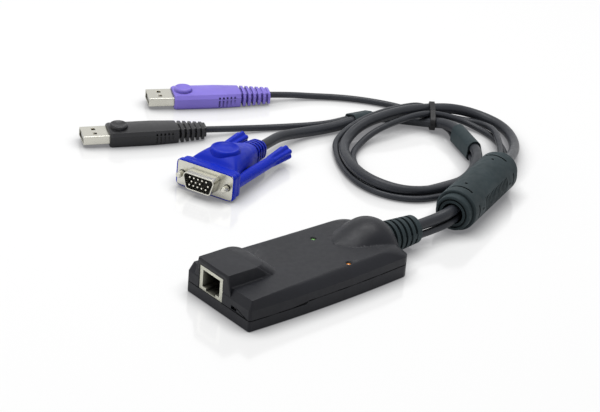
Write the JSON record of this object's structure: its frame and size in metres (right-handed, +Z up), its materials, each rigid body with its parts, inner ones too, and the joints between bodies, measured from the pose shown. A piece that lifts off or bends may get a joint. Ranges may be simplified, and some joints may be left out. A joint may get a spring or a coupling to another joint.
{
  "type": "kvm dongle",
  "caption": "Adapter cable: small console switch dongle with a network socket, an in-line ferrite, and tied cords ending in a display plug and data plugs",
  "frame": {"origin": "on the floor, under the middle of the case and its strain relief, cords left out", "axes": "+X runs along the case from the network socket to the cord exit, +Y across the case to the side where the plugs lie, +Z up; the part lies on its flat base"},
  "size_m": [0.2392, 0.2132, 0.0206],
  "materials": {
    "case_plastic": "fine satin texture",
    "board": "solder mask",
    "jack_plastic": "smooth",
    "contact_brass": "plated",
    "green_lens": "diffuse lens",
    "amber_lens": "diffuse lens",
    "black_plastic": "plain",
    "screw_steel": "plain",
    "grey_rubber": "matte",
    "cord_rubber": "satin",
    "ferrite": "ceramic",
    "blue_plastic": "satin",
    "plug_shell": "plated",
    "pin_metal": "plated",
    "black_rubber": "satin",
    "purple_plastic": "satin",
    "white_plastic": "plain"
  },
  "bodies": {
    "adapter": {"bottom_cover": "case_plastic", "top_cover": "case_plastic", "circuit_board": "board", "rj45_jack": "jack_plastic", "rj45_contacts": "contact_brass", "online_led": "green_lens", "power_led": "amber_lens", "switch_body": "black_plastic", "controller_chips": "black_plastic", "case_screws": "screw_steel", "strain_relief": "grey_rubber", "vga_cord": "cord_rubber", "black_usb_cord": "cord_rubber", "purple_usb_cord": "cord_rubber", "ferrite_case": "grey_rubber", "ferrite_core": "ferrite", "bundle_collar": "grey_rubber", "split_collar": "grey_rubber", "cable_tie": "black_plastic", "vga_hood": "blue_plastic", "vga_shell": "plug_shell", "vga_insulator": "black_plastic", "vga_pins": "pin_metal", "black_usb_mould": "black_rubber", "black_usb_shell": "plug_shell", "black_usb_tongue": "white_plastic", "black_usb_contacts": "contact_brass", "purple_usb_mould": "purple_plastic", "purple_usb_shell": "plug_shell", "purple_usb_tongue": "white_plastic", "purple_usb_contacts": "contact_brass"},
    "switch_knob": {"switch_slider": "black_plastic"},
    "left_thumbscrew": {"thumbscrew_left": "blue_plastic", "thumbscrew_left_tip": "plug_shell"},
    "right_thumbscrew": {"thumbscrew_right": "blue_plastic", "thumbscrew_right_tip": "plug_shell"}
  },
  "joints": [
    {"name": "switch_slide", "type": "slide", "parent": "adapter", "child": "switch_knob", "axis": [0, 1, 0], "range_m": [-0.0008, 0.0008]},
    {"name": "left_screw_turn", "type": "hinge", "parent": "adapter", "child": "left_thumbscrew", "pos_m": [0.01051, 0.0789, 0.00725], "axis": [-0.944, -0.3287, 0.0279], "continuous": true},
    {"name": "right_screw_turn", "type": "hinge", "parent": "adapter", "child": "right_thumbscrew", "pos_m": [0.00229, 0.1025, 0.00725], "axis": [-0.944, -0.3287, 0.0279], "continuous": true}
  ]
}
